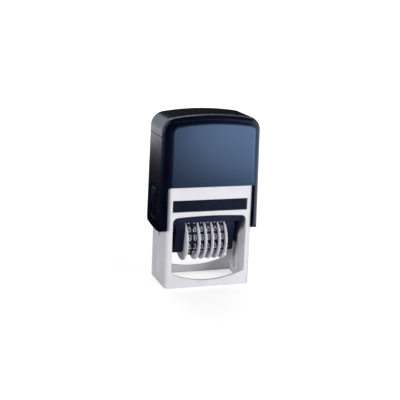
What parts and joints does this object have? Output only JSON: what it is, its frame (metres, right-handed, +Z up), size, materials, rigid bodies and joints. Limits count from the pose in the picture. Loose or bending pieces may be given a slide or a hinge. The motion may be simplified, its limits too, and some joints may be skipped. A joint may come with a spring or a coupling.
{
  "type": "numbering stamp",
  "caption": "Self-inking hand stamp: a cap slides down over a windowed base and turns a die unit with number bands from its ink pad to the paper.",
  "frame": {"origin": "middle of the base's underside", "axes": "+Z up, -Y is the front with the window and the ink tray's ribbed edge, +X to the right seen from the front"},
  "size_m": [0.0678, 0.038, 0.1134],
  "materials": {
    "base_grey": "light grey moulded plastic, satin gloss",
    "cap_navy": "dark navy moulded plastic, polished",
    "inner_navy": "dark navy moulded plastic, satin",
    "tray_navy": "dark moulded plastic, satin",
    "pad_felt": "ink-soaked felt",
    "plate_rubber": "moulded stamp rubber",
    "band_rubber": "moulded rubber band",
    "wheel_grey": "light grey moulded plastic",
    "spring_steel": "drawn spring wire",
    "axle_steel": "bright steel pin"
  },
  "bodies": {
    "base": {"base_frame": "base_grey", "ink_tray": "tray_navy", "ink_pad": "pad_felt", "return_spring_left": "spring_steel", "return_spring_right": "spring_steel"},
    "cap": {"cap_shell": "cap_navy", "top_cover": "cap_navy", "drive_yoke": "inner_navy"},
    "button_left": {"lock_button_left": "cap_navy"},
    "button_right": {"lock_button_right": "cap_navy"},
    "die": {"die_carrier": "inner_navy", "text_plate": "plate_rubber", "numbering_frame": "inner_navy", "print_anvil": "inner_navy", "wheel_axle": "axle_steel", "number_band_1": "band_rubber", "number_band_2": "band_rubber", "number_band_3": "band_rubber", "number_band_4": "band_rubber", "number_band_5": "band_rubber", "number_band_6": "band_rubber"},
    "wheel_1": {"setting_wheel_1": "wheel_grey"},
    "wheel_2": {"setting_wheel_2": "wheel_grey"},
    "wheel_3": {"setting_wheel_3": "wheel_grey"},
    "wheel_4": {"setting_wheel_4": "wheel_grey"},
    "wheel_5": {"setting_wheel_5": "wheel_grey"},
    "wheel_6": {"setting_wheel_6": "wheel_grey"}
  },
  "joints": [
    {"name": "cap_press", "type": "slide", "parent": "base", "child": "cap", "axis": [0, 0, -1], "range_m": [0, 0.035], "stiffness_N_per_m": 400, "springref_m": -0.02, "deforming": ["return_spring_left", "return_spring_right"]},
    {"name": "die_flip", "type": "hinge", "parent": "cap", "child": "die", "pos_m": [0, 0, 0.04285], "axis": [1, 0, 0], "range_deg": [0, 180]},
    {"name": "button_left_push", "type": "hinge", "parent": "cap", "child": "button_left", "pos_m": [-0.03066, 0, 0.0469], "axis": [0, 1, 0], "range_deg": [0, 3.5], "stiffness_Nm_per_rad": 0.05, "springref_deg": -5.73},
    {"name": "button_right_push", "type": "hinge", "parent": "cap", "child": "button_right", "pos_m": [0.03066, 0, 0.0469], "axis": [0, -1, 0], "range_deg": [0, 3.5], "stiffness_Nm_per_rad": 0.05, "springref_deg": -5.73},
    {"name": "wheel_1_turn", "type": "hinge", "parent": "die", "child": "wheel_1", "pos_m": [0, 0, 0.0286], "axis": [1, 0, 0], "continuous": true},
    {"name": "wheel_2_turn", "type": "hinge", "parent": "die", "child": "wheel_2", "pos_m": [0, 0, 0.0286], "axis": [1, 0, 0], "continuous": true},
    {"name": "wheel_3_turn", "type": "hinge", "parent": "die", "child": "wheel_3", "pos_m": [0, 0, 0.0286], "axis": [1, 0, 0], "continuous": true},
    {"name": "wheel_4_turn", "type": "hinge", "parent": "die", "child": "wheel_4", "pos_m": [0, 0, 0.0286], "axis": [1, 0, 0], "continuous": true},
    {"name": "wheel_5_turn", "type": "hinge", "parent": "die", "child": "wheel_5", "pos_m": [0, 0, 0.0286], "axis": [1, 0, 0], "continuous": true},
    {"name": "wheel_6_turn", "type": "hinge", "parent": "die", "child": "wheel_6", "pos_m": [0, 0, 0.0286], "axis": [1, 0, 0], "continuous": true}
  ],
  "couplings": [
    {"joint": "die_flip", "follows": "cap_press", "rad_per_m": 89.76}
  ]
}
